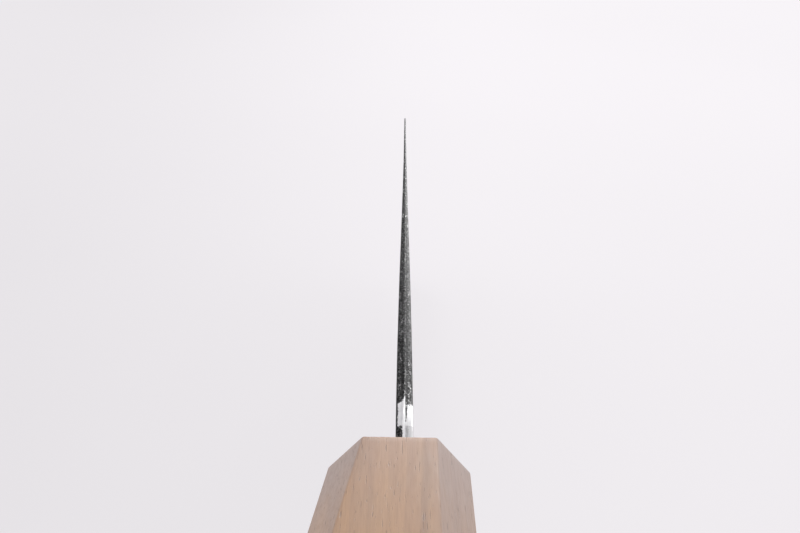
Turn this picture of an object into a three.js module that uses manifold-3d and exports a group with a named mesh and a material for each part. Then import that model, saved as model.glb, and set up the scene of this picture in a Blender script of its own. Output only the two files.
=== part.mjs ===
// Nakiri: a double-bevelled vegetable knife with a hidden tang in an octagonal wooden handle.
//
// The blade is a three-layer laminate: a hard steel core that comes out along the cutting edge, with a
// soft cladding on each side. All three layers run back through the neck into the tang. The tang sits
// between the two halves of a softwood dowel, the dowel is glued into a bore in the handle, and a resin
// seal closes the mouth.
//
// Millimetres. +X runs from the handle to the tip, +Y to the left of the hand that holds the knife, and
// +Z from the edge to the spine. Inside this file x is 0 at the handle's mouth. The exported group is
// centred along X.
import * as THREE from "three";
import { mergeVertices } from "three/addons/utils/BufferGeometryUtils.js";
import Module from "manifold-3d";

// Blade, seen from the side
const BLADE_LENGTH = 165; // heel to tip
const BLADE_HEIGHT = 50; // lowest point of the edge to the spine
const NECK_LENGTH = 11; // handle's mouth to heel
const NECK_DROP = 0.8; // how far the top of the neck falls from the spine to the mouth
const NECK_RUN = 17; // length over which it falls, from the mouth
const NECK_FILLET = 6; // radius between the neck's underside and the heel
const SPINE_CORNER_RADIUS = 12; // rounded corner between spine and front
const EDGE_CORNER_RADIUS = 3; // rounded corner between front and edge
const EDGE_RISE_HEEL = 0.6; // lift of the edge at the heel
const EDGE_RISE_TIP = 2.6; // lift of the edge at the front
const EDGE_LOW_AT = 70; // distance from the heel to the lowest point of the edge

// Blade, in section
const SPINE_THICKNESS_HEEL = 2.65;
const SPINE_THICKNESS_TIP = 0.42;
const SPINE_CROWN_DEG = 7; // slope of each half of the gabled spine
const BEVEL_HEIGHT = 16; // height of the ground bevel above the edge
const BEVEL_THICKNESS_HEEL = 1.6; // at the top of the bevel; it tapers to the tip as the spine does
const CORE_THICKNESS_HEEL = 0.8; // tapers in the same way, and so does the core in the tang

// Tang
const TANG_LENGTH = 88; // mouth to end
const TANG_HEIGHT = 10.4; // at the mouth
const TANG_END_HEIGHT = 5.6;
const TANG_THICKNESS = 2.75; // at the mouth
const TANG_END_THICKNESS = 2;

// Handle: an octagon that flares over its nose and then widens slowly to the butt
const HANDLE_LENGTH = 135;
const NOSE_LENGTH = 30;
const MOUTH_WIDTH = 20.6;
const MOUTH_HEIGHT = 23.6;
const MOUTH_CHAMFER = 5.1; // along the width, and as much along the height
const BODY_WIDTH = 23.5; // where the nose ends
const BODY_HEIGHT = 26;
const BODY_CHAMFER = 4.4;
const BUTT_WIDTH = 24.6;
const BUTT_HEIGHT = 27;
const BUTT_CHAMFER = 4.6;
const MOUTH_OFFSET = 0.5; // the handle was fitted by hand: its middle lies this far left of the blade
const BODY_OFFSET = 1.4; // the same from the end of the nose to the butt
const MOUTH_EASE = 0.5; // chamfer round the mouth's rim
const BUTT_EASE = 1.2; // chamfer round the butt's rim

// Dowel and seal
const DOWEL_WALL = 0.9; // wood left round the tang's corners
const DOWEL_END_WALL = 6; // dowel beyond the end of the tang
const SEAL_DEPTH = 2;
const SEAL_PROUD = 0.4; // how far the seal stands out of the mouth
const GLUE_GAP = 0.15; // between the dowel and its bore, the seal and its bore, and the two dowel halves
const TANG_GAP = 0.3; // between the tang and what holds it

// Fineness of the curved stretches
const BLADE_STEPS = 22;
const CORNER_STEPS = 6;
const NECK_STEPS = 2;
const FILLET_STEPS = 6;
const TANG_STEPS = 4;
const ROUND_SIDES = 40;
const MERGE_WITHIN = 1e-4; // corners closer than this are one

// Places that follow from the sizes
const X_HEEL = NECK_LENGTH;
const X_TIP = NECK_LENGTH + BLADE_LENGTH;
const X_EDGE_LOW = X_HEEL + EDGE_LOW_AT;
const Z_MOUTH_TOP = BLADE_HEIGHT - NECK_DROP;
const Z_AXIS = Z_MOUTH_TOP - TANG_HEIGHT / 2; // the middle of the tang, the bore and the handle
const Z_NECK_UNDER = Z_AXIS - TANG_HEIGHT / 2;
const Z_HEEL_TOP = Z_NECK_UNDER - NECK_FILLET;
const CORE_SHARE = CORE_THICKNESS_HEEL / SPINE_THICKNESS_HEEL;
const BEVEL_SHARE = BEVEL_THICKNESS_HEEL / SPINE_THICKNESS_HEEL;
const CROWN_SLOPE = Math.tan(THREE.MathUtils.degToRad(SPINE_CROWN_DEG));
const DOWEL_RADIUS = Math.hypot(TANG_HEIGHT, TANG_THICKNESS) / 2 + TANG_GAP + DOWEL_WALL;
const BORE_RADIUS = DOWEL_RADIUS + GLUE_GAP;
const BORE_DEPTH = TANG_LENGTH + DOWEL_END_WALL + GLUE_GAP;
const X_CENTRE = (X_TIP - HANDLE_LENGTH) / 2;
const MOUTH = {
  width: MOUTH_WIDTH,
  height: MOUTH_HEIGHT,
  chamfer: MOUTH_CHAMFER,
  offset: MOUTH_OFFSET,
};
const BODY = {
  width: BODY_WIDTH,
  height: BODY_HEIGHT,
  chamfer: BODY_CHAMFER,
  offset: BODY_OFFSET,
};
const BUTT = {
  width: BUTT_WIDTH,
  height: BUTT_HEIGHT,
  chamfer: BUTT_CHAMFER,
  offset: BODY_OFFSET,
};

const { lerp, smoothstep } = THREE.MathUtils;

// Height of the top line: tang, neck, straight spine, then the round corner down to the front
function topHeight(x) {
  if (x < 0) return lerp(Z_MOUTH_TOP, Z_AXIS + TANG_END_HEIGHT / 2, -x / TANG_LENGTH);
  const past = x - (X_TIP - SPINE_CORNER_RADIUS);
  if (past > 0) return BLADE_HEIGHT - SPINE_CORNER_RADIUS + circle(SPINE_CORNER_RADIUS, past);
  return BLADE_HEIGHT - NECK_DROP * (1 - smoothstep(x, 0, NECK_RUN));
}

// Height of the cutting edge, a shallow belly with a small round corner at the front
function edgeHeight(x) {
  const rise = x < X_EDGE_LOW ? EDGE_RISE_HEEL : EDGE_RISE_TIP;
  const end = x < X_EDGE_LOW ? X_HEEL : X_TIP;
  const belly = rise * ((x - X_EDGE_LOW) / (end - X_EDGE_LOW)) ** 2;
  const past = x - (X_TIP - EDGE_CORNER_RADIUS);
  return past > 0 ? belly + EDGE_CORNER_RADIUS - circle(EDGE_CORNER_RADIUS, past) : belly;
}

// Height of the underside of the tang and neck, with the fillet into the heel
function underHeight(x) {
  if (x < 0) return lerp(Z_NECK_UNDER, Z_AXIS - TANG_END_HEIGHT / 2, -x / TANG_LENGTH);
  const past = x - (X_HEEL - NECK_FILLET);
  return past > 0 ? Z_HEEL_TOP + circle(NECK_FILLET, past) : Z_NECK_UNDER;
}

// Half the thickness at the spine: a cosine taper along the blade, straight tapers in the neck and tang
function halfThickness(x) {
  if (x < 0) return lerp(TANG_THICKNESS, TANG_END_THICKNESS, -x / TANG_LENGTH) / 2;
  if (x < X_HEEL) return lerp(TANG_THICKNESS, SPINE_THICKNESS_HEEL, x / X_HEEL) / 2;
  const left = (1 + Math.cos((Math.PI * (x - X_HEEL)) / BLADE_LENGTH)) / 2;
  return lerp(SPINE_THICKNESS_TIP, SPINE_THICKNESS_HEEL, left) / 2;
}

function circle(radius, along) {
  return Math.sqrt(Math.max(0, radius ** 2 - along ** 2));
}

// The named points of one section of the blade's left half, each as [y, z]
function bladeSection(x) {
  const outer = halfThickness(x);
  const core = CORE_SHARE * outer;
  const bevel = BEVEL_SHARE * outer;
  const ridge = topHeight(x);
  const edge = edgeHeight(x);
  const bevelTop = edge + BEVEL_HEIGHT;
  const coreOut = edge + (BEVEL_HEIGHT * core) / bevel;
  const corner = ridge - CROWN_SLOPE * outer;
  const heelRow = lerp(bevel, outer, (Z_HEEL_TOP - bevelTop) / (corner - bevelTop));
  return {
    ridge: [0, ridge],
    coreTop: [core, ridge - CROWN_SLOPE * core],
    corner: [outer, corner],
    outerHeel: [heelRow, Z_HEEL_TOP],
    coreHeel: [core, Z_HEEL_TOP],
    outerBevel: [bevel, bevelTop],
    coreBevel: [core, bevelTop],
    coreOut: [core, coreOut],
    edge: [0, edge],
  };
}

// The same for a section of the tang or neck, which ends at the underside
function tangSection(x) {
  const outer = halfThickness(x);
  const core = CORE_SHARE * outer;
  const ridge = topHeight(x);
  const under = underHeight(x);
  const atHeel = bladeSection(X_HEEL);
  const thinning = lerp(1, atHeel.outerHeel[0] / atHeel.corner[0], smoothstep(x, 0, X_HEEL));
  return {
    ridge: [0, ridge],
    coreTop: [core, ridge - CROWN_SLOPE * core],
    corner: [outer, ridge - CROWN_SLOPE * outer],
    outerHeel: [outer * thinning, under],
    coreHeel: [core, under],
  };
}

// Stations along X
function steps(from, to, count) {
  return Array.from({ length: count + 1 }, (_, i) => lerp(from, to, i / count));
}
const tangStations = steps(-TANG_LENGTH, 0, TANG_STEPS);
const neckStations = [
  ...steps(0, X_HEEL - NECK_FILLET, NECK_STEPS).slice(1),
  ...steps(0, Math.PI / 2, FILLET_STEPS)
    .slice(1)
    .map((a) => X_HEEL - NECK_FILLET + NECK_FILLET * Math.sin(a)),
];
const cornerStations = steps(0, Math.PI / 2, CORNER_STEPS)
  .slice(1)
  .map((a) => X_TIP - SPINE_CORNER_RADIUS + SPINE_CORNER_RADIUS * Math.sin(a));
const bladeStations = [...steps(X_HEEL, X_TIP - SPINE_CORNER_RADIUS, BLADE_STEPS), ...cornerStations];
const rearStations = [...tangStations, ...neckStations];

// A closed skin over sections across X, from the first to the last. A section is two chains of points from
// bottom to top: rising on the +Y side and falling on the -Y side. They may meet at their ends.
class Skin {
  corners = [];

  triangle(a, b, c) {
    const same = (p, q) => p.every((value, i) => value === q[i]);
    if (!same(a, b) && !same(b, c) && !same(c, a)) this.corners.push(...a, ...b, ...c);
  }

  sides(sections) {
    const rings = sections.map(({ rising, falling }) => [...rising, ...falling.toReversed()]);
    for (let i = 0; i + 1 < rings.length; i++) {
      const [near, far] = [rings[i], rings[i + 1]];
      near.forEach((point, j) => {
        const next = (j + 1) % near.length;
        this.triangle(point, near[next], far[next]);
        this.triangle(point, far[next], far[j]);
      });
    }
  }

  // The flat face over a section, seen from +X or from -X
  end({ rising, falling }, fromFront) {
    const [first, second] = fromFront ? [rising, falling] : [falling, rising];
    for (let i = 0; i + 1 < first.length; i++) {
      this.triangle(first[i], first[i + 1], second[i + 1]);
      this.triangle(first[i], second[i + 1], second[i]);
    }
  }

  close(sections) {
    this.end(sections[0], false);
    this.sides(sections);
    this.end(sections.at(-1), true);
    return this.geometry();
  }

  geometry() {
    const made = new THREE.BufferGeometry();
    made.setAttribute("position", new THREE.Float32BufferAttribute(this.corners, 3));
    return mergeVertices(made);
  }
}

// The chains of points that bound the blade's layers, from bottom to top
const CORE_FACE = ["edge", "coreOut", "coreBevel", "coreHeel", "coreTop", "ridge"];
const WELD_FACE = ["coreOut", "coreBevel", "coreHeel", "coreTop"];
const OUTER_FACE = ["coreOut", "outerBevel", "outerHeel", "corner"];
const ABOVE_HEEL = ["coreTop", "corner", "ridge"];
const BELOW_HEEL = ["edge", "coreOut", "coreBevel", "outerBevel"];
const LEFT = 1;
const RIGHT = -1;

// A layer of the blade between two chains, each on the left or the right half
function layer([risingNames, risingSide], [fallingNames, fallingSide]) {
  const section = (points, x, leaveOut) => {
    const chain = (names, side) =>
      names
        .filter((name) => !leaveOut.includes(name))
        .map((name) => [x, side * points[name][0], points[name][1]]);
    return { rising: chain(risingNames, risingSide), falling: chain(fallingNames, fallingSide) };
  };
  const rear = rearStations.map((x) => section(tangSection(x), x, BELOW_HEEL));
  const front = bladeStations.map((x) => section(bladeSection(x), x, []));
  const skin = new Skin();
  skin.end(rear[0], false);
  skin.sides(rear);
  skin.end(section(bladeSection(X_HEEL), X_HEEL, ABOVE_HEEL), false);
  skin.sides(front);
  skin.end(front.at(-1), true);
  return skin.geometry();
}

// A section that is alike on both sides of its middle, from its +Y chain of [y, z] points
function mirrored(x, middle, chain) {
  return {
    rising: chain.map(([y, z]) => [x, middle + y, z]),
    falling: chain.map(([y, z]) => [x, middle - y, z]),
  };
}

// An octagon across X, level with the handle's axis
function octagon(x, { width, height, chamfer, offset }) {
  const [y, z] = [width / 2, height / 2];
  return mirrored(x, offset, [
    [y - chamfer, Z_AXIS - z],
    [y, Z_AXIS - z + chamfer],
    [y, Z_AXIS + z - chamfer],
    [y - chamfer, Z_AXIS + z],
  ]);
}

// The octagon drawn in by the same amount on every side
function drawnIn(size, by) {
  return {
    width: size.width - 2 * by,
    height: size.height - 2 * by,
    chamfer: size.chamfer - by * (2 - Math.SQRT2),
    offset: size.offset,
  };
}

// The octagon part of the way from one to another
function between(a, b, share) {
  return Object.fromEntries(Object.keys(a).map((key) => [key, lerp(a[key], b[key], share)]));
}

function handleBlank() {
  const beforeButt = between(BUTT, BODY, BUTT_EASE / (HANDLE_LENGTH - NOSE_LENGTH));
  const beforeMouth = between(MOUTH, BODY, MOUTH_EASE / NOSE_LENGTH);
  return new Skin().close([
    octagon(-HANDLE_LENGTH, drawnIn(BUTT, BUTT_EASE)),
    octagon(-HANDLE_LENGTH + BUTT_EASE, beforeButt),
    octagon(-NOSE_LENGTH, BODY),
    octagon(-MOUTH_EASE, beforeMouth),
    octagon(0, drawnIn(MOUTH, MOUTH_EASE)),
  ]);
}

// A round bar along X on the handle's axis
function roundBar(from, to, radius) {
  return new THREE.CylinderGeometry(radius, radius, to - from, ROUND_SIDES)
    .rotateZ(-Math.PI / 2)
    .translate((from + to) / 2, 0, Z_AXIS);
}

// The space that the tang takes up, with its gap, from past its end to past the mouth
function tangRoom() {
  const sections = [-TANG_LENGTH - TANG_GAP, 0, SEAL_PROUD + TANG_GAP].map((x) => {
    const onTang = Math.max(x, -TANG_LENGTH);
    const y = halfThickness(onTang) + TANG_GAP;
    return mirrored(x, 0, [
      [y, underHeight(onTang) - TANG_GAP],
      [y, topHeight(onTang) + TANG_GAP],
    ]);
  });
  return new Skin().close(sections);
}

// The half of space on one side of the blade's plane, as a box round the dowel
function sideBox(side) {
  const span = 2 * (BORE_DEPTH + BORE_RADIUS);
  const middle = side * (span + GLUE_GAP) / 2;
  return new THREE.BoxGeometry(span, span, span).translate(0, middle, Z_AXIS);
}

const wasm = await Module();
wasm.setup();

// Closed three.js geometry to a solid for joining and cutting, and back
function solid(geometry) {
  const bare = geometry.clone().deleteAttribute("normal").deleteAttribute("uv");
  const merged = mergeVertices(bare, MERGE_WITHIN);
  return new wasm.Manifold(
    new wasm.Mesh({
      numProp: 3,
      vertProperties: merged.attributes.position.array,
      triVerts: new Uint32Array(merged.index.array),
    }),
  );
}

function geometryOf(made) {
  const { vertProperties, triVerts } = made.getMesh();
  const geometry = new THREE.BufferGeometry();
  geometry.setAttribute("position", new THREE.BufferAttribute(vertProperties, 3));
  geometry.setIndex(new THREE.BufferAttribute(triVerts, 1));
  return geometry;
}

const tangCut = solid(tangRoom());

function handle() {
  const bore = roundBar(-BORE_DEPTH, DOWEL_RADIUS, BORE_RADIUS);
  return geometryOf(solid(handleBlank()).subtract(solid(bore)));
}

function dowelHalf(side) {
  const dowel = roundBar(-BORE_DEPTH + GLUE_GAP, -SEAL_DEPTH, DOWEL_RADIUS);
  return geometryOf(solid(dowel).intersect(solid(sideBox(side))).subtract(tangCut));
}

function mouthSeal() {
  const plug = roundBar(-SEAL_DEPTH + GLUE_GAP, SEAL_PROUD, DOWEL_RADIUS);
  return geometryOf(solid(plug).subtract(tangCut));
}

// Materials
function steel(color, roughness) {
  return new THREE.MeshStandardMaterial({ color, roughness, metalness: 0.9 });
}
function wood(color) {
  return new THREE.MeshStandardMaterial({ color, roughness: 0.6, metalness: 0 });
}
const coreSteel = steel(0xb4b7ba, 0.25);
const forgedIron = steel(0x45464a, 0.5);
const brownWood = wood(0xba9d88);
const paleWood = wood(0xdccfae);
const resin = new THREE.MeshStandardMaterial({ color: 0x4b3a2c, roughness: 0.35, metalness: 0 });

const knife = new THREE.Group();
knife.position.x = -X_CENTRE;

function add(name, geometry, material) {
  const mesh = new THREE.Mesh(geometry, material);
  mesh.name = name;
  knife.add(mesh);
}

add("blade_core", layer([CORE_FACE, LEFT], [CORE_FACE, RIGHT]), coreSteel);
add("cladding_left", layer([OUTER_FACE, LEFT], [WELD_FACE, LEFT]), forgedIron);
add("cladding_right", layer([WELD_FACE, RIGHT], [OUTER_FACE, RIGHT]), forgedIron);
add("handle", handle(), brownWood);
add("dowel_left", dowelHalf(LEFT), paleWood);
add("dowel_right", dowelHalf(RIGHT), paleWood);
add("mouth_seal", mouthSeal(), resin);

export default knife;
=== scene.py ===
import math

import bmesh
import bpy
from mathutils import Matrix, Vector, noise


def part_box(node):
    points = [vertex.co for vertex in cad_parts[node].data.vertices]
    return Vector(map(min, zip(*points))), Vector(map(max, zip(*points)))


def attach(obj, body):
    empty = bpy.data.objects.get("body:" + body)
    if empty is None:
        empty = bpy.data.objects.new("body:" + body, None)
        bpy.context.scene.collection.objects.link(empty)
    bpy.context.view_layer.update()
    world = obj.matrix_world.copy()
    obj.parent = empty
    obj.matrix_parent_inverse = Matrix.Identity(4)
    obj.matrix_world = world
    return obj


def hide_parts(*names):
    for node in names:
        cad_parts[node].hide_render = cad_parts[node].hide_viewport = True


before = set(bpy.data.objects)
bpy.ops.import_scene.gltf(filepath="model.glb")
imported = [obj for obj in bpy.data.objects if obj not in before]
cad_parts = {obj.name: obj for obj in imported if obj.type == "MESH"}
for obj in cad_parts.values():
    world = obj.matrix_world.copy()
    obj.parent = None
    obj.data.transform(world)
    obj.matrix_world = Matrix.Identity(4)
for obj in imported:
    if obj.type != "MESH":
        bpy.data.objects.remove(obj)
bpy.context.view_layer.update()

# Lengths are millimetres: x from the handle's mouth toward the tip, y to the left of the blade's middle,
# z up from the lowest point of the edge
MM = 0.001

# Places taken from the frame
X_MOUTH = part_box("handle")[1].x / MM  # in the row's frame
X_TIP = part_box("blade_core")[1].x / MM - X_MOUTH
X_TANG_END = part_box("blade_core")[0].x / MM - X_MOUTH
X_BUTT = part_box("handle")[0].x / MM - X_MOUTH
Z_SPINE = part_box("blade_core")[1].z / MM
Z_AXIS = (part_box("handle")[0].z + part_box("handle")[1].z) / (2 * MM)
BORE_RADIUS = (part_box("mouth_seal")[1].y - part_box("mouth_seal")[0].y) / (2 * MM)
SEAL_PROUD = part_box("mouth_seal")[1].x / MM - X_MOUTH
SEAL_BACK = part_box("mouth_seal")[0].x / MM - X_MOUTH
DOWEL_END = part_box("dowel_left")[0].x / MM - X_MOUTH

# Blade
X_HEEL = 11
NECK_DROP = 0.8
NECK_RUN = 17
NECK_FILLET = 6
SPINE_CORNER_RADIUS = 12
EDGE_CORNER_RADIUS = 3
EDGE_RISE_HEEL = 0.6
EDGE_RISE_TIP = 2.6
X_EDGE_LOW = X_HEEL + 70
SPINE_HEEL = 2.65  # thickness of the spine at the heel
SPINE_TIP = 0.3
CROWN_SLOPE = math.tan(math.radians(7))
CROWN_POWER = 1.7  # the spine is a sharp gable at the neck and turns into a soft crown
CROWN_START = 20
CROWN_FULL = 50
PEAK_SHIFT = 0.3  # how far left of the middle the gable's peak lies at the mouth
PEAK_TURN = 12  # from here the peak comes back to the middle
PEAK_CENTRED = 24
BEVEL_HEIGHT = 16
BEVEL_SHARE = 1.6 / SPINE_HEEL  # thickness at the top of the bevel against the spine's
CORE_SHARE = 0.8 / SPINE_HEEL
TANG_HEIGHT = 10.4
TANG_END_HEIGHT = 5.6
TANG_THICKNESS = 2.75
TANG_END_THICKNESS = 2
HONED_HEIGHT = 0.35  # the narrow honed bevel along the edge
HONED_HALF = 0.03
HONED_HALF_SHARE = 0.2  # the most of the half thickness that the honed bevel may take
SPINE_EASE = 0.3  # how far the spine's corners are rounded off
SPINE_EASE_SHARE = 0.35  # the most of the half thickness that the rounding may take
Z_NECK_UNDER = Z_AXIS - TANG_HEIGHT / 2
Z_HEEL_TOP = Z_NECK_UNDER - NECK_FILLET

# The lamination line wanders up and down in long waves and weaker short ones
WELD_WAVE = 1.3
WELD_LONG = 17
WELD_SHORT = 5.5
WELD_SHORT_SHARE = 0.4

# Hollows that the hammer left under the forge scale
SCALE_RELIEF = 0.035
BROAD_HOLLOW = 6
FINE_HOLLOW = 1.3
BROAD_SHARE = 0.7
FINE_SHARE = 0.3
HOLLOW_STRETCH = 0.4  # below 1, hollows are drawn out across the spine
HOLLOW_SIDES_APART = 40  # so that the two sides aren't alike
HOLLOW_FADE = 0.1  # the hollows fade out this close to the middle

# Depth inside the forge scale, a measure without a unit: negative where the steel is bright
FULL_COVER = 3
WORN = 0.32  # scale that is worn thin
SPOTTED = -0.3  # bright steel with spots of scale
BARE = -1.5

# Lengths over which that depth changes by one
GRIND_SOFTNESS = 2  # at the top of the bevel
LINE_SOFTNESS = 0.16  # along a mark's sides
END_SOFTNESS = 1.2  # at a mark's ends
CORNER_SOFTNESS = 0.3  # along the spine's left corner

# Bright marks on the spine near the heel
RIDGE_WIDTH = 0.42  # width of a bright line along the right side of the peak, which runs to a point
RIDGE_POINT = 0.1  # share of the width that is left at the point
RIDGE_TAPER = 15
RIDGE_END = 23.4
PATCH_START = 13
LEFT_PATCH_END = 21
LEFT_PATCH_SLANT = 1.7  # how much sooner the left patch ends per mm outward
RIGHT_PATCH_END = 19.2
LEFT_CORNER = 0.3  # width of the dark strip that is left along the left corner
WEDGE_START = 12.6  # a dark wedge opens beside the ridge line, on its right
WEDGE_SPREAD = 0.056
SATIN = 0.45  # how far the right side is polished between the mouth and its patch
MARKS_END = 26  # past all the marks

# Handle sections: reach to the left and right of the blade, half height, and the chamfers across and down
MOUTH = dict(
    left=10.6,
    right=9.2,
    half=11.6,
    left_across=4.8,
    left_down=5.1,
    right_across=4.8,
    right_down=5.6,
)
NOSE = dict(
    left=13.45,
    right=9.35,
    half=13,
    left_across=4.1,
    left_down=4.1,
    right_across=4.9,
    right_down=4.9,
)
BODY = dict(
    left=13.3,
    right=10.5,
    half=13.15,
    left_across=4.4,
    left_down=4.4,
    right_across=4.6,
    right_down=4.6,
)
BUTT = dict(
    left=13.7,
    right=10.9,
    half=13.5,
    left_across=4.6,
    left_down=4.6,
    right_across=4.6,
    right_down=4.6,
)
X_NOSE = -30
X_BODY = -60
HANDLE_SECTIONS = [(0, MOUTH), (X_NOSE, NOSE), (X_BODY, BODY), (X_BUTT, BUTT)]
HANDLE_BLEND = 7  # length over which one taper runs into the next
ARRIS_RADIUS = 0.6  # rounding of the octagon's corners
LEAST_ARRIS = 0.1
ARRIS_LOSS = 0.3  # how much of its radius an arris loses per mm that the section is drawn in
MOUTH_EASE = 0.5
BUTT_EASE = 1.4
BORE_GAP = 0.05

# Seal
SEAL_GAP = 0.05  # between resin and tang
SEAL_SINK = 0.15  # how far the resin lies inside the mouth along the bore

# Steps along each stretch of a section's outline
HONED_TO_WELD = 5
WELD_TO_BEVEL_TOP = 7
BEVEL_TOP_TO_HEEL = 8
HEEL_TO_CORNER = 12
ROUND_CORNER = 5
CORNER_TO_CORE = 8
CORE_TO_PEAK = 6
FACET_STEPS = 7
ARRIS_STEPS = 4

# Rings along the handle and across the seal
BUTT_RINGS = (0.2, 0.4, 0.6, 0.8)
EASE_STEPS = 6
HANDLE_STEPS = 90
BORE_STEPS = 6
MENISCUS_STEPS = 10
SEAL_POINTS = 96

# Tolerances of the meshes
SEAM_GAP = 0.0005  # points closer than this are one
SHARP_ANGLE = math.radians(32)


def lerp(a, b, share):
    return a + (b - a) * share


def smooth(value, low, high):
    share = min(1, max(0, (value - low) / (high - low)))
    return share * share * (3 - 2 * share)


def circle(radius, along):
    return math.sqrt(max(0, radius**2 - along**2))


def steps(start, end, count):
    return [lerp(start, end, i / count) for i in range(count + 1)]


def arc_steps(start, radius, count):
    return [start + radius * math.sin(a) for a in steps(0, math.pi / 2, count)[1:]]


def point_between(a, b, share):
    return lerp(a[0], b[0], share), lerp(a[1], b[1], share)


def toward(start, end, distance):
    return point_between(start, end, distance / math.dist(start, end))


def between(start, end, count):
    """Points from start to end, without the first."""
    return [point_between(start, end, share) for share in steps(0, 1, count)[1:]]


def eased(start, corner, end, count):
    """Points round a corner, on a parabola, without the first."""
    points = []
    for share in steps(0, 1, count)[1:]:
        a = point_between(start, corner, share)
        b = point_between(corner, end, share)
        points.append(point_between(a, b, share))
    return points


def in_frame(point):
    x, y, z = point
    return Vector(((x + X_MOUTH) * MM, y * MM, z * MM))


# Outline and thickness of the blade


def top_height(x):
    if x < 0:
        return lerp(Z_AXIS + TANG_HEIGHT / 2, Z_AXIS + TANG_END_HEIGHT / 2, x / X_TANG_END)
    past = x - (X_TIP - SPINE_CORNER_RADIUS)
    if past > 0:
        return Z_SPINE - SPINE_CORNER_RADIUS + circle(SPINE_CORNER_RADIUS, past)
    return Z_SPINE - NECK_DROP * (1 - smooth(x, 0, NECK_RUN))


def edge_height(x):
    rise, end = (EDGE_RISE_HEEL, X_HEEL) if x < X_EDGE_LOW else (EDGE_RISE_TIP, X_TIP)
    belly = rise * ((x - X_EDGE_LOW) / (end - X_EDGE_LOW)) ** 2
    past = x - (X_TIP - EDGE_CORNER_RADIUS)
    return belly + EDGE_CORNER_RADIUS - circle(EDGE_CORNER_RADIUS, past) if past > 0 else belly


def under_height(x):
    if x < 0:
        return lerp(Z_NECK_UNDER, Z_AXIS - TANG_END_HEIGHT / 2, x / X_TANG_END)
    past = x - (X_HEEL - NECK_FILLET)
    return Z_HEEL_TOP + circle(NECK_FILLET, past) if past > 0 else Z_NECK_UNDER


def half_thickness(x):
    if x < 0:
        return lerp(TANG_THICKNESS, TANG_END_THICKNESS, x / X_TANG_END) / 2
    if x < X_HEEL:
        return lerp(TANG_THICKNESS, SPINE_HEEL, x / X_HEEL) / 2
    left = (1 + math.cos(math.pi * (x - X_HEEL) / (X_TIP - X_HEEL))) / 2
    return lerp(SPINE_TIP, SPINE_HEEL, left) / 2


def peak(x):
    """How far left of the blade's middle plane the spine is highest."""
    return PEAK_SHIFT * (1 - smooth(x, PEAK_TURN, PEAK_CENTRED))


def crown_drop(x, y):
    """How far the spine lies below its peak, y left of the middle plane."""
    outer = half_thickness(x)
    across = y - peak(x)
    reach = outer - peak(x) if across > 0 else outer + peak(x)
    power = lerp(1, CROWN_POWER, smooth(x, CROWN_START, CROWN_FULL))
    return CROWN_SLOPE * outer * (abs(across) / reach) ** power


def weld_height(x, side):
    """Height of the lamination line above the edge, different on each side."""
    level = BEVEL_HEIGHT * CORE_SHARE / BEVEL_SHARE
    slow = noise.noise(Vector((x / WELD_LONG, side * 5.3, 0)))
    quick = noise.noise(Vector((x / WELD_SHORT, side * 9.1, 3)))
    return level + WELD_WAVE * (slow + WELD_SHORT_SHARE * quick)


# Forge scale and bright marks


def flank_cover(x, z):
    """How far inside the dark forge scale a point of the side lies: negative on the ground bevel."""
    if x < X_HEEL:
        return FULL_COVER
    return (z - edge_height(x) - BEVEL_HEIGHT) / GRIND_SOFTNESS


def from_ridge_line(x, y):
    """Distance from the bright line along the peak, y left of the middle plane: negative on the line."""
    taper = (RIDGE_END - x) / (RIDGE_END - RIDGE_TAPER)
    half = RIDGE_WIDTH / 2 * min(1, max(RIDGE_POINT, taper))
    return abs(y - peak(x) + half) - half


def left_patch(x, y):
    """Cover left of the bright line: worn thin near the handle, then bright, and dark along the corner."""
    patch_end = LEFT_PATCH_END - LEFT_PATCH_SLANT * y
    strip = (y - half_thickness(x) + LEFT_CORNER) / CORNER_SOFTNESS
    worn = min(WORN, (PATCH_START - x) / END_SOFTNESS)
    return max(worn, (x - patch_end) / END_SOFTNESS, strip)


def right_patch(x, from_line):
    """Cover right of the bright line: spotted near the handle, then bright, with a dark wedge."""
    wedge = BARE
    if x > WEDGE_START:
        wedge = (WEDGE_SPREAD * (x - WEDGE_START) - from_line) / LINE_SOFTNESS
    spotted = SPOTTED if x < PATCH_START else BARE
    return max((x - RIGHT_PATCH_END) / END_SOFTNESS, wedge, spotted)


def top_cover(x, y, side):
    """How far inside the dark forge scale a point of the spine lies: negative on its bright marks."""
    from_line = from_ridge_line(x, side * y)
    ridge = max(from_line / LINE_SOFTNESS, (x - RIDGE_END) / END_SOFTNESS)
    patch = left_patch(x, y) if side > 0 else right_patch(x, from_line)
    return max(BARE, min(FULL_COVER, ridge, patch))


# Sections of the blade


class Row:
    """One point of a section's outline, with what the steel's shader needs to know there."""

    def __init__(self, y, z, cover=FULL_COVER, from_weld=BEVEL_HEIGHT, polish=0):
        self.y = y
        self.z = z
        self.cover = cover
        self.from_weld = from_weld
        self.polish = polish


def flank_rows(x, points, weld):
    rows = []
    for y, z in points:
        from_weld = z - weld[1] if x >= X_HEEL else BEVEL_HEIGHT
        rows.append(Row(y, z, flank_cover(x, z), from_weld))
    return rows


def top_rows(x, points, side, core):
    rows = []
    for y, z in points:
        satin = side < 0 and x < PATCH_START and from_ridge_line(x, side * y) > 0
        rows.append(Row(y, z, top_cover(x, y, side), y - core, SATIN if satin else 1))
    return rows


def inner_rows(x):
    """Rows on the hidden weld between core and cladding, from bottom to top, without its ends."""
    core = CORE_SHARE * half_thickness(x)
    if x >= X_HEEL:
        return [Row(core, edge_height(x) + BEVEL_HEIGHT), Row(core, Z_HEEL_TOP)]
    return [Row(core, under_height(x))]


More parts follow.
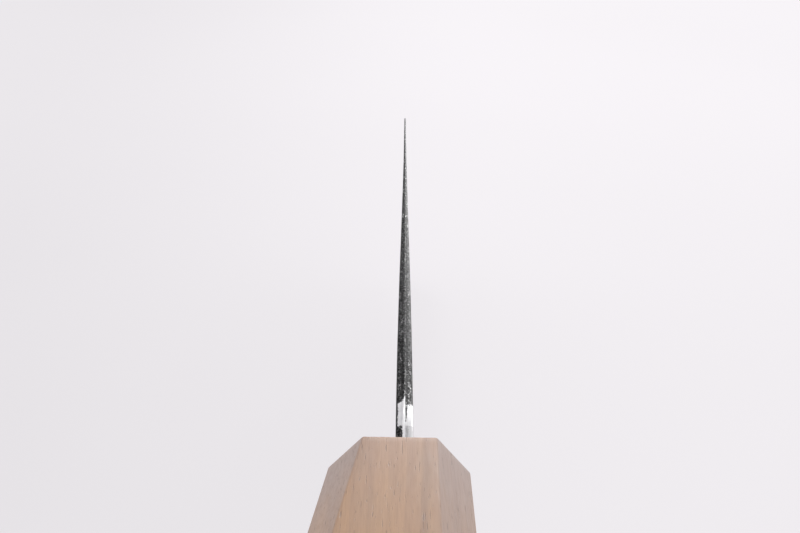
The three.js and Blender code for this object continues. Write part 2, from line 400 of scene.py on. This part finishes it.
def sink(x, row, side, corner):
    """Presses a point in where the hammer and the scale left hollows, across the face that it lies on."""
    reach = smooth(row.cover, 0, 1) * smooth(row.y, 0, HOLLOW_FADE)
    if not reach:
        return
    across = side * row.y * HOLLOW_STRETCH + side * HOLLOW_SIDES_APART
    place = Vector((x, across, row.z))
    broad = noise.noise(place / BROAD_HOLLOW) * 0.5 + 0.5
    fine = noise.noise(place / FINE_HOLLOW + Vector((7, 0, 0))) * 0.5 + 0.5
    depth = SCALE_RELIEF * reach * (BROAD_SHARE * broad + FINE_SHARE * fine)
    thin = min(1, half_thickness(x))
    if row.z > corner[1]:
        row.z -= depth * thin
    else:
        row.y -= depth * thin


def crowned(x, ridge, side, start, end, count):
    """Points across one side of the spine from y = start to y = end, without the first."""
    return [(y, ridge - crown_drop(x, side * y)) for y in steps(start, end, count)[1:]]


def blade_foot(x, side, outer, corner):
    """Points below the top of the heel, on the core and on the cladding, and the last of them."""
    edge = edge_height(x)
    bevel_top = (BEVEL_SHARE * outer, edge + BEVEL_HEIGHT)
    honed = (min(HONED_HALF, HONED_HALF_SHARE * outer), edge + HONED_HEIGHT)
    weld_share = (weld_height(x, side) - HONED_HEIGHT) / (BEVEL_HEIGHT - HONED_HEIGHT)
    weld = point_between(honed, bevel_top, weld_share)
    heel_share = (Z_HEEL_TOP - bevel_top[1]) / (corner[1] - bevel_top[1])
    heel = (lerp(bevel_top[0], outer, heel_share), Z_HEEL_TOP)
    low = [(0, edge), honed] + between(honed, weld, HONED_TO_WELD)
    cladding = [weld] + between(weld, bevel_top, WELD_TO_BEVEL_TOP)
    cladding += between(bevel_top, heel, BEVEL_TOP_TO_HEEL)
    return low, cladding, heel


def neck_foot(x, outer):
    """The lower corner of neck or tang, which meets the blade's side at the heel."""
    at_heel = half_thickness(X_HEEL)
    heel_top = top_height(X_HEEL) - CROWN_SLOPE * at_heel
    bevel_top = edge_height(X_HEEL) + BEVEL_HEIGHT
    share = lerp(BEVEL_SHARE, 1, (Z_HEEL_TOP - bevel_top) / (heel_top - bevel_top))
    return outer * lerp(1, share, smooth(x, 0, X_HEEL)), under_height(x)


def outline(x, side):
    """One side of a section as (low core rows, cladding rows, top core rows), each from bottom to top."""
    outer = half_thickness(x)
    core = CORE_SHARE * outer
    ridge = top_height(x)
    corner = (outer, ridge - CROWN_SLOPE * outer)
    if x >= X_HEEL:
        low, cladding, heel = blade_foot(x, side, outer, corner)
    else:
        heel = neck_foot(x, outer)
        low, cladding = [], [heel]
    ease = min(SPINE_EASE, SPINE_EASE_SHARE * outer)
    flank_end = toward(corner, heel, ease)
    top_start = (outer - ease, ridge - crown_drop(x, side * (outer - ease)))
    weld_top = (core, ridge - crown_drop(x, side * core))
    flank = cladding + between(heel, flank_end, HEEL_TO_CORNER)
    top = eased(flank_end, corner, top_start, ROUND_CORNER)
    top += crowned(x, ridge, side, outer - ease, core, CORNER_TO_CORE)
    core_top = [weld_top] + crowned(x, ridge, side, core, 0, CORE_TO_PEAK)

    weld = cladding[0]
    low_rows = flank_rows(x, low, weld)
    cladding_rows = flank_rows(x, flank, weld) + top_rows(x, top, side, core)
    core_top_rows = top_rows(x, core_top, side, core)
    for row in low_rows + cladding_rows + core_top_rows:
        sink(x, row, side, corner)
    return low_rows, cladding_rows, core_top_rows


# Meshes


class Shell:
    """A closed mesh made from rings of points, with float attributes on its points."""

    def __init__(self, *attributes):
        self.mesh = bmesh.new()
        self.layers = {name: self.mesh.verts.layers.float.new(name) for name in attributes}

    def ring(self, points, **values):
        verts = [self.mesh.verts.new(in_frame(point)) for point in points]
        for name, series in values.items():
            for vert, value in zip(verts, series):
                vert[self.layers[name]] = value
        return verts

    def sides(self, rings):
        for near, far in zip(rings, rings[1:]):
            for j in range(len(near)):
                k = (j + 1) % len(near)
                self.mesh.faces.new((near[j], near[k], far[k], far[j]))

    def face(self, verts):
        self.mesh.faces.new(verts)

    def finish(self, name, replaced, material):
        """Joins the seams, turns every face outward and hands the piece to the frame."""
        bmesh.ops.remove_doubles(self.mesh, verts=self.mesh.verts, dist=SEAM_GAP * MM)
        bmesh.ops.recalc_face_normals(self.mesh, faces=self.mesh.faces)
        for face in self.mesh.faces:
            face.smooth = True
        for edge in self.mesh.edges:
            edge.smooth = edge.calc_face_angle(0) < SHARP_ANGLE
        data = bpy.data.meshes.new(name)
        self.mesh.to_mesh(data)
        self.mesh.free()
        data.materials.append(material)
        piece = bpy.data.objects.new(name, data)
        bpy.context.scene.collection.objects.link(piece)
        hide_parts(replaced)
        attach(piece, "root")


# Blade pieces

# The last rear station lies just behind the heel, where a section is still the neck's
REAR_STATIONS = (
    steps(X_TANG_END, 0, 12)
    + steps(0, X_HEEL - NECK_FILLET, 8)[1:]
    + arc_steps(X_HEEL - NECK_FILLET, NECK_FILLET, 14)[:-1]
    + [X_HEEL - 1e-6]
)
FRONT_STATIONS = (
    steps(X_HEEL, MARKS_END, 50)
    + steps(MARKS_END, X_TIP - SPINE_CORNER_RADIUS, 200)[1:]
    + arc_steps(X_TIP - SPINE_CORNER_RADIUS, SPINE_CORNER_RADIUS, 24)
)
STEEL_NOTES = ("cover", "from_weld", "polish")


def put_ring(shell, x, rows, sides):
    points = [(x, side * row.y, row.z) for row, side in zip(rows, sides)]
    notes = {name: [getattr(row, name) for row in rows] for name in STEEL_NOTES}
    return shell.ring(points, **notes)


def loft(shell, ring):
    """Joins rings along tang and neck and along the blade, closes both ends and returns the heel's ring."""
    rear = [ring(x) for x in REAR_STATIONS]
    front = [ring(x) for x in FRONT_STATIONS]
    shell.sides(rear)
    shell.sides(front)
    shell.face(rear[0])
    shell.face(front[-1])
    return front[0]


def make_cladding(name, node, side, material):
    """The soft steel on one side, with the heel closed below the neck."""
    shell = Shell(*STEEL_NOTES)

    def ring(x):
        _, rows, _ = outline(x, side)
        rows = rows + inner_rows(x)[::-1]
        return put_ring(shell, x, rows, [side] * len(rows))

    heel = loft(shell, ring)
    outer_points = 1 + WELD_TO_BEVEL_TOP + BEVEL_TOP_TO_HEEL
    inner_points = len(inner_rows(X_HEEL))
    shell.face(heel[:outer_points] + heel[-inner_points:])
    shell.finish(name, node, material)


def make_core(name, node, material):
    """The hard steel between the claddings, with the heel closed below the neck."""
    shell = Shell(*STEEL_NOTES)

    def half_ring(x, side):
        low, _, top = outline(x, side)
        return low + inner_rows(x) + top

    def ring(x):
        left = half_ring(x, 1)
        right = half_ring(x, -1)[:-1]  # the halves share the peak
        if x >= X_HEEL:
            right = right[1:]  # and the cutting edge
        return put_ring(shell, x, left + right[::-1], [1] * len(left) + [-1] * len(right))

    heel = loft(shell, ring)
    half_points = 2 + HONED_TO_WELD + len(inner_rows(X_HEEL))
    shell.face(heel[:half_points] + heel[1 - half_points :])
    shell.finish(name, node, material)


# Handle


def section_at(x):
    """A handle section, straight between the given ones."""
    for (front, a), (rear, b) in zip(HANDLE_SECTIONS, HANDLE_SECTIONS[1:]):
        if x >= rear:
            share = (x - front) / (rear - front)
            return {key: lerp(a[key], b[key], share) for key in a}
    return BUTT


def handle_section(x):
    """A handle section, with the tapers run softly into each other."""
    reach = min(HANDLE_BLEND, -x, x - X_BUTT)
    near = [section_at(x + reach * share) for share in steps(-1, 1, 8)]
    return {key: sum(section[key] for section in near) / len(near) for key in MOUTH}


def octagon_corners(section, drawn_in):
    """A section's corners, each side moved inward, from the top of the left flat over the top."""
    left = section["left"] - drawn_in
    right = drawn_in - section["right"]
    half = section["half"] - drawn_in
    less = drawn_in * (2 - math.sqrt(2))
    upper = [
        (left, half - (section["left_down"] - less)),
        (left - (section["left_across"] - less), half),
        (right + (section["right_across"] - less), half),
        (right, half - (section["right_down"] - less)),
    ]
    return upper + [(y, -z) for y, z in upper[::-1]]


def octagon(section, drawn_in):
    """Points round a section, each with 1 on a chamfer, 0 on a flat and a value between on an arris."""
    corners = octagon_corners(section, drawn_in)
    cut = max(LEAST_ARRIS, ARRIS_RADIUS - ARRIS_LOSS * drawn_in) * math.tan(math.pi / 8)
    points = []
    for i, corner in enumerate(corners):
        after = corners[(i + 1) % len(corners)]
        start = toward(corner, corners[i - 1], cut)
        end = toward(corner, after, cut)
        onto_chamfer = i % 2 == 0
        arris = [start] + eased(start, corner, end, ARRIS_STEPS)
        for share, point in zip(steps(0, 1, ARRIS_STEPS), arris):
            points.append((point, share if onto_chamfer else 1 - share))
        for point in between(end, toward(after, corner, cut), FACET_STEPS)[:-1]:
            points.append((point, 1 if onto_chamfer else 0))
    return [((y, z + Z_AXIS), chamfer) for (y, z), chamfer in points]


def make_handle(name, node, material):
    """An octagon that widens from mouth to butt, with eased ends and a blind bore."""
    shell = Shell("chamfer")

    def ring(x, drawn_in=0, shrunk=1, facing_out=1):
        section = handle_section(x)
        middle = (section["left"] - section["right"]) / 2
        shaped = octagon(section, drawn_in)
        points = [(x, lerp(middle, y, shrunk), lerp(Z_AXIS, z, shrunk)) for (y, z), _ in shaped]
        return shell.ring(points, chamfer=[chamfer * facing_out for _, chamfer in shaped])

    def bore_ring(x, radius):
        points = []
        for (y, z), _ in octagon(MOUTH, MOUTH_EASE):
            angle = math.atan2(z - Z_AXIS, y)
            points.append((x, radius * math.cos(angle), Z_AXIS + radius * math.sin(angle)))
        return shell.ring(points, chamfer=[0] * len(points))

    quarter = steps(0, math.pi / 2, EASE_STEPS)
    rings = [ring(X_BUTT, BUTT_EASE, share, 0) for share in BUTT_RINGS]
    for a in quarter:
        forward = BUTT_EASE * (1 - math.cos(a))
        rings.append(ring(X_BUTT + forward, BUTT_EASE * (1 - math.sin(a)), 1, math.sin(a)))
    rings += [ring(x) for x in steps(X_BUTT + BUTT_EASE, -MOUTH_EASE, HANDLE_STEPS)[1:-1]]
    for a in quarter:
        back = MOUTH_EASE * (1 - math.sin(a))
        rings.append(ring(-back, MOUTH_EASE * (1 - math.cos(a)), 1, math.cos(a)))
    bore_end = DOWEL_END - BORE_GAP
    rings += [bore_ring(x, BORE_RADIUS + BORE_GAP) for x in steps(0, bore_end, BORE_STEPS)]
    shell.sides(rings)
    shell.face(rings[0])
    shell.face(rings[-1])
    shell.finish(name, node, material)


# Seal


def slot_point(angle):
    """Where a ray from the tang's middle meets the slot round the tang."""
    c, s = math.cos(angle), math.sin(angle)
    tang_y = TANG_THICKNESS / 2 + SEAL_GAP
    tang_z = TANG_HEIGHT / 2 + SEAL_GAP
    reach = min(tang_y / max(abs(c), 1e-9), tang_z / max(abs(s), 1e-9))
    return reach * c, reach * s


def make_seal(name, node, material):
    """A resin plug with a soft meniscus that climbs the tang and sinks toward the bore."""
    shell = Shell()

    def ring(x, share):
        """A ring round the tang at share 0, round the bore at share 1."""
        points = []
        for i in range(SEAL_POINTS):
            angle = 2 * math.pi * (i + 0.5) / SEAL_POINTS
            on_bore = (BORE_RADIUS * math.cos(angle), BORE_RADIUS * math.sin(angle))
            y, z = point_between(slot_point(angle), on_bore, share)
            points.append((x, y, Z_AXIS + z))
        return shell.ring(points)

    meniscus = []
    for share in steps(0, 1, MENISCUS_STEPS):
        meniscus.append(ring(SEAL_PROUD * (1 - share) ** 2 - SEAL_SINK * share, share))
    rings = [ring(SEAL_BACK, 0)] + meniscus + [ring(SEAL_BACK, 1)]
    shell.sides(rings + rings[:1])
    shell.finish(name, node, material)


# Materials


class Graph:
    """A material's nodes. Its methods return sockets, and take sockets or plain values."""

    def __init__(self, name):
        self.material = bpy.data.materials.new(name)
        self.material.use_nodes = True
        self.tree = self.material.node_tree
        self.shader = self.tree.nodes["Principled BSDF"]

    def node(self, kind, inputs, output=0, **settings):
        made = self.tree.nodes.new("ShaderNode" + kind)
        for key, value in settings.items():
            setattr(made, key, value)
        for key, value in inputs.items():
            self.put(made.inputs[key], value)
        return made.outputs[output]

    def put(self, socket, value):
        if isinstance(value, bpy.types.NodeSocket):
            self.tree.links.new(value, socket)
        else:
            socket.default_value = value

    def set(self, **inputs):
        for key, value in inputs.items():
            self.put(self.shader.inputs[key.replace("_", " ")], value)
        return self.material

    def place(self, x, y, z):
        """Position on the object, in cycles per millimetre along each axis."""
        coords = self.node("TexCoord", {}, "Object")
        scale = (x / MM, y / MM, z / MM)
        return self.node("Mapping", {"Vector": coords, "Scale": scale})

    def axes(self):
        """Position on the object in millimetres, one socket for each axis."""
        split = self.tree.nodes.new("ShaderNodeSeparateXYZ")
        self.put(split.inputs["Vector"], self.place(1, 1, 1))
        return split.outputs["X"], split.outputs["Y"], split.outputs["Z"]

    def attribute(self, name):
        return self.node("Attribute", {}, "Fac", attribute_name=name)

    def noise(self, vector, detail=3, roughness=0.5, distortion=0):
        inputs = {
            "Vector": vector,
            "Scale": 1,
            "Detail": detail,
            "Roughness": roughness,
            "Distortion": distortion,
        }
        return self.node("TexNoise", inputs)

    def math(self, operation, a, b=0):
        return self.node("Math", {0: a, 1: b}, operation=operation)

    def plus(self, a, b):
        return self.math("ADD", a, b)

    def minus(self, a, b):
        return self.math("SUBTRACT", a, b)

    def times(self, a, b):
        return self.math("MULTIPLY", a, b)

    def size_of(self, a):
        return self.math("ABSOLUTE", a)

    def ramp(self, value, low, high, to_low=0, to_high=1):
        inputs = {"Value": value, "From Min": low, "From Max": high, "To Min": to_low, "To Max": to_high}
        return self.node("MapRange", inputs, interpolation_type="SMOOTHSTEP")

    def mix(self, share, a, b):
        """A colour between two."""
        made = self.tree.nodes.new("ShaderNodeMix")
        made.data_type = "RGBA"
        for index, value in ((0, share), (6, a), (7, b)):
            self.put(made.inputs[index], value)
        return made.outputs[2]

    def blend(self, share, a, b):
        """A number between two."""
        return self.node("Mix", {0: share, 2: a, 3: b})

    def bump(self, height, distance, strength=1, under=None):
        inputs = {"Height": height, "Distance": distance * MM, "Strength": strength}
        if under:
            inputs["Normal"] = under
        return self.node("Bump", inputs)


def grey(value, tint=0.0):
    return (value * (1 - tint), value, value * (1 + tint), 1)


GRAZING_TINT = grey(0.53)  # dulls what the steel mirrors at a low angle
WELD_BLACK = grey(0.003)
SCALE_GRAIN = grey(0.115)
SCALE_SPECK = grey(0.55)
SEAM_GREY = grey(0.05)


def scale_border(g):
    """1 where forge scale covers the steel and 0 where it is bright, with a ragged border."""
    coarse = g.minus(g.noise(g.place(0.9, 1.6, 1.6), 4, 0.7), 0.5)
    grit = g.minus(g.noise(g.place(3.5, 6, 6), 2, 0.6), 0.5)
    ragged = g.plus(g.times(coarse, 1.6), g.times(grit, 1.3))
    return g.ramp(g.plus(g.attribute("cover"), ragged), -0.08, 0.08)


def forge_scale(g, from_weld, polish):
    """Nearly black scale, worn through in specks, with a finer and brighter grain on the spine."""
    broad = g.noise(g.place(0.1, 0.3, 0.12), 4, 0.6)
    fine = g.noise(g.place(0.6, 1.2, 1.2), 6, 0.8)
    on_spine = g.ramp(polish, 0, 1)
    spine_colour = g.mix(g.ramp(broad, 0.3, 0.7), grey(0.002, -0.02), grey(0.007, -0.02))
    flank_colour = g.mix(g.ramp(broad, 0.35, 0.65), grey(0.014, 0.02), grey(0.034, 0.02))
    colour = g.mix(on_spine, flank_colour, spine_colour)
    dots = g.noise(g.place(1.8, 3.4, 3.4), 2, 0.6)
    grain = g.blend(on_spine, g.ramp(fine, 0.5, 0.68, 0, 0.3), g.ramp(dots, 0.49, 0.61))
    colour = g.mix(grain, colour, SCALE_GRAIN)
    colour = g.mix(g.ramp(from_weld, 0.02, 0.2), WELD_BLACK, colour)

    winding = g.noise(g.place(0.42, 1, 1), 3, 0.6, 0.6)
    threads = g.ramp(g.size_of(g.minus(winding, 0.5)), 0.005, 0.02, 1, 0)
    worn = g.ramp(g.noise(g.place(0.3, 0.9, 0.9), 3, 0.6), 0.53, 0.61)
    specks = g.times(g.times(threads, worn), g.ramp(polish, 0, 1, 0.12, 1))
    return dict(
        colour=g.mix(specks, colour, SCALE_SPECK),
        metallic=g.ramp(specks, 0, 1, 0.85, 1),
        roughness=g.ramp(fine, 0.4, 0.65, 0.36, 0.24),
        normal=g.bump(fine, 0.06, 1, g.bump(broad, 0.12, 0.5)),
    )


def bright_steel(g, from_weld, polish, ground, roughness, weld_line):
    """Steel with upright grinding lines on the bevel, polished marks on the spine and a dark seam."""
    lines = g.noise(g.place(9, 2, 0.16), 3, 0.6)
    haze = g.noise(g.place(0.2, 0.5, 0.3), 4, 0.6)
    smudge = g.noise(g.place(0.5, 1.4, 1.4), 3, 0.6)
    ground_colour = g.mix(g.ramp(lines, 0.3, 0.7), grey(ground * 0.82, 0.01), grey(ground))
    polished_colour = g.mix(g.ramp(smudge, 0.3, 0.6), grey(0.88), grey(0.98))
    colour = g.mix(polish, ground_colour, polished_colour)
    seam = g.times(g.ramp(from_weld, 0.04, 0.26, weld_line, 0), g.ramp(polish, 0, 1, 1, 0.25))
    hazy = g.ramp(haze, 0.3, 0.7, roughness * 0.75, roughness * 1.3)
    return dict(
        colour=g.mix(seam, colour, SEAM_GREY),
        roughness=g.plus(g.blend(polish, hazy, 0.26), g.times(lines, 0.06)),
        normal=g.bump(lines, 0.004, 0.6),
    )


def blade_steel(name, ground, roughness, weld_line):
    """Dark forge scale over steel that is bright where the cover is negative."""
    g = Graph(name)
    from_weld = g.size_of(g.attribute("from_weld"))
    polish = g.attribute("polish")
    scaled = scale_border(g)
    scale = forge_scale(g, from_weld, polish)
    steel = bright_steel(g, from_weld, polish, ground, roughness, weld_line)
    normals = {0: scaled, 4: steel["normal"], 5: scale["normal"]}
    return g.set(
        Base_Color=g.mix(scaled, steel["colour"], scale["colour"]),
        Metallic=g.blend(scaled, 1.0, scale["metallic"]),
        Roughness=g.blend(scaled, steel["roughness"], scale["roughness"]),
        Specular_Tint=GRAZING_TINT,
        Normal=g.node("Mix", normals, 1, data_type="VECTOR"),
    )


STREAK_Y = -2.9  # a darker growth layer that shows along the top, right of the blade
PALE_WOOD = (0.44, 0.255, 0.134, 1)
BROWN_WOOD = (0.38, 0.219, 0.126, 1)
DARK_WOOD = (0.24, 0.14, 0.095, 1)
MOUTH_WOOD = (0.385, 0.25, 0.19, 1)
HANDLED_WOOD = (0.31, 0.22, 0.165, 1)
# Painted sheen and shade: a pale grey for the chamfers, standing in for the bright room that they mirror at
# a low angle and the lesser light that reaches them
CHAMFER_PAINTED_SHEEN = (0.405, 0.36, 0.355, 1)
PORE_WOOD = (0.14, 0.09, 0.066, 1)
ARRIS_WOOD = (0.5, 0.37, 0.27, 1)


def growth_layers(g, x, y, z):
    """Position across the upright growth layers, which lean, drift along the handle and waver."""
    warp = g.minus(g.noise(g.place(0.014, 0.09, 0.09), 3, 0.5), 0.5)
    lean = g.times(g.minus(z, Z_AXIS + MOUTH["half"]), 0.3)
    drift = g.times(g.minus(x, X_MOUTH), 0.033)
    return g.plus(g.plus(g.plus(y, lean), g.times(warp, 3)), drift)


def handle_wood():
    """Brown hardwood: upright layers, one dark streak, fine pores, chamfers greyed by painted sheen and
    shade, and greyer toward the mouth.
    """
    g = Graph("handle_wood")
    x, y, z = g.axes()
    layer = growth_layers(g, x, y, z)
    rings = g.math("FRACT", g.times(layer, 0.45))
    late = g.times(g.ramp(rings, 0.2, 0.9), g.ramp(rings, 0.9, 1, 1, 0))
    streak = g.ramp(g.size_of(g.minus(layer, STREAK_Y)), 0.1, 0.8, 1, 0)
    broad = g.noise(g.place(0.009, 0.22, 0.18), 5, 0.6, 0.4)
    fibres = g.noise(g.place(0.05, 4.5, 4.5), 3, 0.6)
    pores = g.ramp(g.noise(g.place(0.2, 4.6, 4.6), 2, 0.5), 0.63, 0.7)
    clouds = g.noise(g.place(0.07, 0.2, 0.2), 3, 0.5)
    chamfer = g.attribute("chamfer")
    arris = g.minus(1, g.size_of(g.minus(g.times(chamfer, 2), 1)))

    tints = [
        (g.times(late, 0.18), DARK_WOOD),
        (g.times(streak, 0.4), DARK_WOOD),
        (g.ramp(layer, STREAK_Y - 1, STREAK_Y + 1, 0.24, 0), DARK_WOOD),
        (g.ramp(x, X_MOUTH - 22, X_MOUTH, 0, 0.45), MOUTH_WOOD),
        (g.times(g.ramp(clouds, 0.42, 0.66), g.ramp(x, X_MOUTH - 30, X_MOUTH, 0.1, 0.36)), HANDLED_WOOD),
        # painted sheen and shade on the chamfers, stronger toward the mouth
        (g.times(chamfer, g.ramp(x, X_MOUTH - 25, X_MOUTH, 0.3, 0.46)), CHAMFER_PAINTED_SHEEN),
        (g.ramp(fibres, 0.35, 0.8, 0, 0.25), DARK_WOOD),
        (g.times(pores, 0.55), PORE_WOOD),
        (g.times(arris, g.ramp(broad, 0.3, 0.7, 0, 0.1)), ARRIS_WOOD),
    ]
    colour = g.mix(g.ramp(broad, 0.34, 0.64), PALE_WOOD, BROWN_WOOD)
    for share, tint in tints:
        colour = g.mix(share, colour, tint)
    return g.set(
        Base_Color=colour,
        Roughness=g.plus(g.ramp(fibres, 0.2, 0.8, 0.38, 0.52), g.times(arris, 0.22)),
        Normal=g.bump(fibres, 0.02, 0.5, g.bump(pores, -0.03, 0.6)),
    )


def dowel_wood():
    """Pale softwood with a straight grain."""
    g = Graph("dowel_wood")
    grain = g.noise(g.place(0.02, 0.9, 0.9), 4, 0.6)
    return g.set(
        Base_Color=g.mix(g.ramp(grain, 0.35, 0.65), (0.72, 0.62, 0.42, 1), (0.58, 0.46, 0.29, 1)),
        Roughness=g.ramp(grain, 0.3, 0.7, 0.6, 0.75),
        Normal=g.bump(grain, 0.05, 0.4),
    )


def seal_resin():
    """Dark brown resin, a little uneven and dusty."""
    g = Graph("seal_resin")
    cloud = g.noise(g.place(0.35, 0.35, 0.35), 4, 0.6)
    dust = g.noise(g.place(3, 3, 3), 3, 0.6)
    return g.set(
        Base_Color=g.mix(g.ramp(cloud, 0.3, 0.7), (0.045, 0.03, 0.02, 1), (0.1, 0.068, 0.043, 1)),
        Roughness=g.ramp(dust, 0.3, 0.7, 0.22, 0.42),
        Normal=g.bump(cloud, 0.1, 0.4),
    )


def floor_acrylic():
    """White acrylic that glows as if lit from below, so that shadows stay faint, with painted shade: the
    glow is weaker on the left and near the handle.
    """
    g = Graph("floor_acrylic")
    x, y, _ = g.axes()
    # Painted shade: the floor's glow falls off toward the handle and on the left
    glow_with_painted_shade = g.ramp(x, -80, 400, 0.71, 0.78)
    painted_shade_left = g.ramp(y, -40, 150, 0, 0.1)
    mottle = g.noise(g.place(0.004, 0.004, 0.004), 3, 0.5)
    return g.set(
        Base_Color=g.mix(g.ramp(mottle, 0.3, 0.7), (0.145, 0.14, 0.145, 1), (0.155, 0.15, 0.155, 1)),
        Roughness=0.7,
        Specular_IOR_Level=0,
        Emission_Color=(1, 0.972, 1, 1),
        Emission_Strength=g.minus(glow_with_painted_shade, painted_shade_left),
    )


# Studio

FLOOR_REACH = 30  # metres, as the lamps' places and sizes are
WALL_COLOUR = (0.98, 0.965, 1, 1)
WALL_BRIGHTNESS = [(0, 0.82), (0.12, 0.86), (0.9, 0.45)]  # by the sine of the angle above the horizon


def make_camera():
    """Behind and above the handle, looking along the spine to the tip."""
    x, y, z = (-168.4, 1.53, 109.4)  # from the middle of the tang at the mouth, in millimetres
    yaw = math.radians(-0.15)
    pitch = math.radians(23.25)
    roll = math.radians(0.96)
    ahead = Vector((math.cos(yaw) * math.cos(pitch), math.sin(yaw) * math.cos(pitch), -math.sin(pitch)))
    level = Vector((math.sin(yaw), -math.cos(yaw), 0))
    right = Matrix.Rotation(-roll, 3, ahead) @ level
    up = right.cross(ahead)
    turn = Matrix((right, up, -ahead)).transposed()
    data = bpy.data.cameras.new("camera")
    data.lens = 63
    data.sensor_width = 36
    camera = bpy.data.objects.new("camera", data)
    camera.matrix_world = Matrix.Translation(in_frame((x, y, z + Z_AXIS))) @ turn.to_4x4()
    bpy.context.scene.collection.objects.link(camera)
    bpy.context.scene.camera = camera


def add_light(name, place, target, size, brightness):
    """A rectangular lamp whose face is equally bright at any size."""
    data = bpy.data.lights.new(name, "AREA")
    data.shape = "RECTANGLE"
    data.size, data.size_y = size
    data.energy = brightness * math.pi * size[0] * size[1]
    light = bpy.data.objects.new(name, data)
    direction = Vector(target) - Vector(place)
    light.location = place
    light.rotation_euler = direction.to_track_quat("-Z", "Y").to_euler()
    bpy.context.scene.collection.objects.link(light)


def make_lights():
    add_light("overhead", place=(-0.05, 0.15, 1.3), target=(0, 0, 0), size=(1.2, 0.22), brightness=7.5)
    add_light("right", place=(0, -1.3, 0.9), target=(0, 0, 0.03), size=(1.4, 0.9), brightness=0.35)
    add_light("beyond", place=(1.6, -0.33, 0.35), target=(0, 0, 0.05), size=(0.65, 0.43), brightness=12)
    add_light("window", place=(1.5, -0.95, 0.35), target=(-0.05, 0, 0.05), size=(0.8, 0.7), brightness=0.9)


def make_floor():
    low, high = -FLOOR_REACH, FLOOR_REACH
    corners = [(low, low, 0), (high, low, 0), (high, high, 0), (low, high, 0)]
    data = bpy.data.meshes.new("floor")
    data.from_pydata(corners, [], [(0, 1, 2, 3)])
    data.materials.append(floor_acrylic())
    floor = bpy.data.objects.new("floor", data)
    bpy.context.scene.collection.objects.link(floor)


def make_world():
    """Pale walls, as bright as the floor at the horizon, that darken toward the ceiling."""
    world = bpy.data.worlds.new("studio")
    world.use_nodes = True
    tree = world.node_tree
    coords = tree.nodes.new("ShaderNodeTexCoord")
    split = tree.nodes.new("ShaderNodeSeparateXYZ")
    fade = tree.nodes.new("ShaderNodeValToRGB")
    stops = fade.color_ramp.elements
    stops.new(WALL_BRIGHTNESS[1][0])
    for stop, (height, value) in zip(stops, WALL_BRIGHTNESS):
        stop.position = height
        stop.color = grey(value)
    background = tree.nodes["Background"]
    background.inputs["Color"].default_value = WALL_COLOUR
    tree.links.new(coords.outputs["Generated"], split.inputs["Vector"])
    tree.links.new(split.outputs["Z"], fade.inputs["Fac"])
    tree.links.new(fade.outputs["Color"], background.inputs["Strength"])
    bpy.context.scene.world = world


make_camera()
make_floor()
make_world()
make_lights()
bpy.context.scene.view_settings.view_transform = "Standard"

cladding_steel = blade_steel("cladding_steel", ground=0.4, roughness=0.36, weld_line=0.5)
core_steel = blade_steel("core_steel", ground=0.66, roughness=0.16, weld_line=0.3)
make_cladding("left_cladding", "cladding_left", 1, cladding_steel)
make_cladding("right_cladding", "cladding_right", -1, cladding_steel)
make_core("steel_core", "blade_core", core_steel)
make_handle("octagonal_handle", "handle", handle_wood())
make_seal("resin_seal", "mouth_seal", seal_resin())
softwood = dowel_wood()
for node in ("dowel_left", "dowel_right"):
    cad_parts[node].material_slots[0].material = softwood
